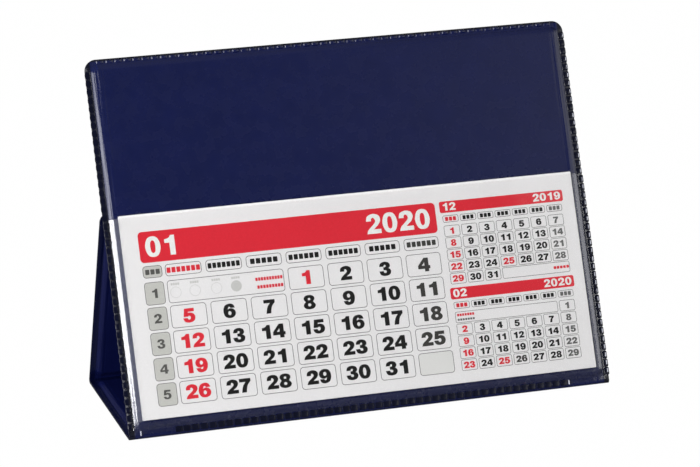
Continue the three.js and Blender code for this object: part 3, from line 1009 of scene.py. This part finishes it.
# The phases of the moon: three open rings and a full disc, each under a row of tiny blocks.
RINGS = (19.1, 26.9, 35.6)
FULL_DISC = 43.6
MOON_MIDDLE = 31.8
MOON_RADIUS = 2.2
MOON_LINE = 0.15
for moon_x in (*RINGS, FULL_DISC):
    blocks(moon, left=moon_x - 1.7, centre_y=28.5, count=4, word_width=3.4, height=0.9)
    outlines = [disc(moon_x, MOON_MIDDLE, MOON_RADIUS)]
    if moon_x in RINGS:
        outlines.append(disc(moon_x, MOON_MIDDLE, MOON_RADIUS - MOON_LINE))
    moon.shape(outlines)
blocks(red, left=51.6, centre_y=30.1, count=10, word_width=11.0, height=1.3)
blocks(red, left=52.0, centre_y=33.2, count=9, word_width=10.6, height=1.3)

# The two small months. Heights are below the top of the month's banner.
SHORT_WORDS = ((3, 4.6),) * WEEK
SMALL_LEFT = 131.0
SMALL_RIGHT = 183.9
SMALL_BANNER = 4.6
SMALL_BANNER_CORNER = 0.8
SMALL_BASELINE = 3.75
SMALL_BANNER_DIGIT = 3.1
SMALL_HEADING_TOP = 5.7
SMALL_HEADING_BOTTOM = 8.5
SMALL_BLOCK = 1.6
MONTH_CENTRE = 135.0
YEAR_CENTRE = 176.9
NOTE_LEFT = 132.6
NOTE_WIDTH = 7.2


def small_month(top, grid_top, month, year):
    """A small month's banner, numbers and headings, and the grid for its dates."""
    grid = MonthGrid(left=131.75, top=grid_top, pitch_x=7.42, pitch_y=4.81, cell_width=6.7,
                     cell_height=4.45, digit=2.6, radius=0.7, line=0.19, saturdays=grey)
    banners.field(SMALL_LEFT, top, SMALL_RIGHT, top + SMALL_BANNER, SMALL_BANNER_CORNER)
    for text, centre in ((month, MONTH_CENTRE), (year, YEAR_CENTRE)):
        white.number(text, centre, top + SMALL_BASELINE, SMALL_BANNER_DIGIT)
    grid.headings(top + SMALL_HEADING_TOP, top + SMALL_HEADING_BOTTOM, SHORT_WORDS, SMALL_BLOCK)
    return grid


month_before = small_month(top=7.0, grid_top=16.75, month="12", year="2019")
month_before.dates(first_column=0, days=31, red_days=(25,))
month_before.cell(3, 4, last_column=SATURDAY)
note_top = month_before.box(3, 4)[1]
blocks(red, left=176.0, centre_y=note_top + 2.2, count=5, word_width=6.6, height=1.1)
month_after = small_month(top=41.9, grid_top=51.6, month="02", year="2020")
month_after.cell(0, 0, last_column=5)
for colour, below, height in ((red, 1.3, 1.0), (grey, 3.2, 0.8)):
    blocks(colour, NOTE_LEFT, month_after.top + below, 7, NOTE_WIDTH, height)
month_after.dates(first_column=6, days=29, red_days=(25,), paler_days=(26,))

for layer in (black, saturday, grey, week, red, white, lines, moon, banners, fields, pale):
    layer.make()

# Studio: a white floor, a broad soft lamp at the left, and much weaker ones at the right, above and
# behind. To the camera the floor is white, with only a trace of the shading on it.
FLOOR_REACH = 4.0
FLOOR_GREY = (0.22, 0.22, 0.22, 1)
FLOOR_ROUGHNESS = 0.9
FLOOR_WHITENESS = 0.997
WORLD_LIGHT = 0.10
LAMP_AIM = Vector((0, 0, 0.06))


def floor():
    mesh = bpy.data.meshes.new("floor")
    corners = [(-1, -1), (1, -1), (1, 1), (-1, 1)]
    mesh.from_pydata([(x * FLOOR_REACH, y * FLOOR_REACH, 0) for x, y in corners], [], [(0, 1, 2, 3)])
    material = new_material("floor")
    diffuse = principled(material, roughness=FLOOR_ROUGHNESS, colour=FLOOR_GREY)
    white_light = add_node(material, "ShaderNodeEmission")
    seen = add_node(material, "ShaderNodeLightPath").outputs["Is Camera Ray"]
    whiteness = calculate(material, "MULTIPLY", seen, FLOOR_WHITENESS)
    show(material, blend_shaders(material, whiteness, diffuse.outputs["BSDF"],
                                 white_light.outputs["Emission"]))
    paint(mesh, material)
    in_scene("floor", mesh)


def toward(azimuth, elevation):
    """The direction from the object to a place around it, in degrees: 0 is in front, 90 at the right."""
    turn, lift = math.radians(azimuth), math.radians(elevation)
    return Vector((math.sin(turn) * math.cos(lift), -math.cos(turn) * math.cos(lift), math.sin(lift)))


def lamp(name, azimuth, elevation, distance, width, height, power):
    """A soft rectangular lamp that points at the object."""
    light = bpy.data.lights.new(name, "AREA")
    light.shape = "RECTANGLE"
    light.size, light.size_y = width, height
    light.energy = power
    away = toward(azimuth, elevation)
    source = in_scene(name, light)
    source.location = LAMP_AIM + away * distance
    source.rotation_euler = away.to_track_quat("Z", "Y").to_euler()
    source.visible_camera = False


def studio_world():
    world = bpy.data.worlds.new("studio")
    world.use_nodes = True
    nodes, links = world.node_tree.nodes, world.node_tree.links
    background = nodes["Background"]
    background.inputs["Color"].default_value = (1, 1, 1, 1)
    rays = nodes.new("ShaderNodeLightPath")
    strength = nodes.new("ShaderNodeMix")
    strength.inputs["A"].default_value = WORLD_LIGHT
    strength.inputs["B"].default_value = 1.0
    links.new(rays.outputs["Is Camera Ray"], strength.inputs["Factor"])
    links.new(strength.outputs["Result"], background.inputs["Strength"])
    bpy.context.scene.world = world


def camera():
    turn = math.radians(CAMERA_AZIMUTH)
    backward = toward(CAMERA_AZIMUTH, CAMERA_ELEVATION)
    right = Vector((math.cos(turn), math.sin(turn), 0))
    upward = backward.cross(right)
    lens = bpy.data.cameras.new("camera")
    lens.sensor_width = SENSOR_WIDTH
    lens.lens = LENS
    lens.clip_start = CLIP_START
    lens.clip_end = CLIP_END
    eye = in_scene("camera", lens)
    spot = backward * CAMERA_DISTANCE + right * CAMERA_SIDE + upward * CAMERA_RISE
    eye.matrix_world = Matrix.Translation(spot) @ Matrix((right, upward, backward)).transposed().to_4x4()
    bpy.context.scene.camera = eye


floor()
# Degrees around and above the object, then metres away, wide and high, and watts.
lamp("left_lamp", -67, 14, 1.4, 2.2, 0.8, 49.5)
lamp("right_lamp", 72, 14, 1.6, 2.8, 1.0, 8.8)
lamp("fill_lamp", 56, 27, 1.6, 1.65, 1.0, 2.0)
lamp("top_lamp", 19, 76, 1.5, 1.4, 1.7, 1.5)
lamp("back_lamp", 175, 48, 2.2, 3.0, 1.0, 12)
studio_world()
camera()
bpy.context.scene.view_settings.view_transform = "Standard"
